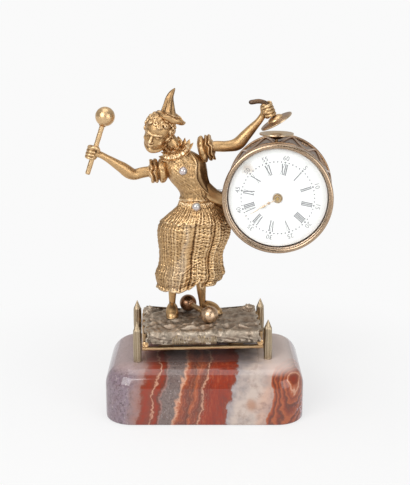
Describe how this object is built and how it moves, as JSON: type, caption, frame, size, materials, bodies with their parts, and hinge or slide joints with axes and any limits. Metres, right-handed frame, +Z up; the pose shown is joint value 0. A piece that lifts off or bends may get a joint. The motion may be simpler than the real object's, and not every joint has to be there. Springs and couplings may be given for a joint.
{
  "type": "figural table clock",
  "caption": "Small gilt bronze figure of a circus drummer on a plank stage and an agate block, with a watch movement behind the dial of the bass drum.",
  "frame": {"origin": "middle of the agate block's flat underside", "axes": "+Z up, the dial's side faces -Y, the drum is towards +X"},
  "size_m": [0.0901, 0.047, 0.1192],
  "materials": {
    "agate": "polished banded agate",
    "gilt_bronze": "cast, chased and gilt, with dark recesses",
    "dark_bronze": "dark brown patina",
    "pale_gilt": "pale rose gilt, engraved",
    "brass": "grained and gilt",
    "steel": "polished",
    "pearl": "pearl lustre",
    "enamel": "white enamel with dark numerals",
    "glass": "clear domed glass"
  },
  "bodies": {
    "clock_body": {"agate_base": "agate", "front_left_post": "gilt_bronze", "front_right_post": "gilt_bronze", "rear_left_post": "gilt_bronze", "rear_right_post": "gilt_bronze", "front_rail": "gilt_bronze", "rear_rail": "gilt_bronze", "left_log": "gilt_bronze", "right_log": "gilt_bronze", "dumbbell_rear_ball": "gilt_bronze", "dumbbell_front_ball": "gilt_bronze", "dumbbell_bar": "gilt_bronze", "right_leg": "gilt_bronze", "left_leg": "gilt_bronze", "skirt": "gilt_bronze", "bodice": "gilt_bronze", "head": "gilt_bronze", "hat": "gilt_bronze", "collar": "gilt_bronze", "right_sleeve": "gilt_bronze", "left_sleeve": "gilt_bronze", "right_arm": "gilt_bronze", "left_arm": "gilt_bronze", "mallet_stick": "gilt_bronze", "mallet_ball": "gilt_bronze", "cymbal_screw": "gilt_bronze", "drum_bracket": "gilt_bronze", "stage_floor": "dark_bronze", "stage_rug": "dark_bronze", "cymbal_strap": "dark_bronze", "drum_shell": "pale_gilt", "drum_cord": "pale_gilt", "drum_cymbal": "pale_gilt", "hand_cymbal": "pale_gilt", "front_plate": "brass", "back_plate": "brass", "balance_cock": "brass", "left_stage_bolt": "steel", "right_stage_bolt": "steel", "back_hinge_pin": "steel", "bracket_screw": "steel", "ratchet_click": "steel", "upper_pearl": "pearl", "lower_pearl": "pearl", "dial": "enamel"},
    "bezel_body": {"bezel": "pale_gilt", "watch_glass": "glass"},
    "cover_body": {"back_cover": "pale_gilt"},
    "minute_body": {"minute_hand": "gilt_bronze", "centre_wheel": "brass"},
    "hour_body": {"hour_hand": "gilt_bronze", "hour_wheel": "brass"},
    "minute_wheel_body": {"minute_wheel": "brass"},
    "barrel_body": {"mainspring_barrel": "brass"},
    "third_body": {"third_wheel": "brass"},
    "fourth_body": {"fourth_wheel": "brass"},
    "escape_body": {"escape_wheel": "steel"},
    "balance_body": {"balance_wheel": "brass", "hairspring": "steel"},
    "winding_body": {"winding_arbor": "steel"}
  },
  "joints": [
    {"name": "bezel_pull", "type": "slide", "parent": "clock_body", "child": "bezel_body", "axis": [-0.0993, -0.9951, 0], "range_m": [0, 0.012]},
    {"name": "cover_hinge", "type": "hinge", "parent": "clock_body", "child": "cover_body", "pos_m": [0.02838, 0.01628, 0.0593], "axis": [-0.9951, 0.0993, 0], "range_deg": [0, 105]},
    {"name": "minute_turn", "type": "hinge", "parent": "clock_body", "child": "minute_body", "pos_m": [0.0269, 0.0015, 0.0804], "axis": [0.0993, 0.9951, 0], "continuous": true},
    {"name": "hour_turn", "type": "hinge", "parent": "clock_body", "child": "hour_body", "pos_m": [0.0269, 0.0015, 0.0804], "axis": [0.0993, 0.9951, 0], "continuous": true},
    {"name": "minute_wheel_turn", "type": "hinge", "parent": "clock_body", "child": "minute_wheel_body", "pos_m": [0.02551, 0.00164, 0.07655], "axis": [0.0993, 0.9951, 0], "continuous": true},
    {"name": "barrel_turn", "type": "hinge", "parent": "clock_body", "child": "barrel_body", "pos_m": [0.02058, 0.00213, 0.08573], "axis": [0.0993, 0.9951, 0], "continuous": true},
    {"name": "third_turn", "type": "hinge", "parent": "clock_body", "child": "third_body", "pos_m": [0.03232, 0.00096, 0.08238], "axis": [0.0993, 0.9951, 0], "continuous": true},
    {"name": "fourth_turn", "type": "hinge", "parent": "clock_body", "child": "fourth_body", "pos_m": [0.03232, 0.00096, 0.07743], "axis": [0.0993, 0.9951, 0], "continuous": true},
    {"name": "escape_turn", "type": "hinge", "parent": "clock_body", "child": "escape_body", "pos_m": [0.02921, 0.00127, 0.0743], "axis": [0.0993, 0.9951, 0], "continuous": true},
    {"name": "balance_swing", "type": "hinge", "parent": "clock_body", "child": "balance_body", "pos_m": [0.02626, 0.00156, 0.07322], "axis": [0.0993, 0.9951, 0], "range_deg": [-170, 170]},
    {"name": "winding_turn", "type": "hinge", "parent": "clock_body", "child": "winding_body", "pos_m": [0.02058, 0.00213, 0.08573], "axis": [0.0993, 0.9951, 0], "continuous": true}
  ],
  "couplings": [
    {"joint": "hour_turn", "follows": "minute_turn", "ratio": 0.083333},
    {"joint": "minute_wheel_turn", "follows": "minute_turn", "ratio": -0.33333},
    {"joint": "barrel_turn", "follows": "minute_turn", "ratio": -0.125},
    {"joint": "third_turn", "follows": "minute_turn", "ratio": -8},
    {"joint": "fourth_turn", "follows": "minute_turn", "ratio": 60},
    {"joint": "escape_turn", "follows": "minute_turn", "ratio": -480}
  ]
}
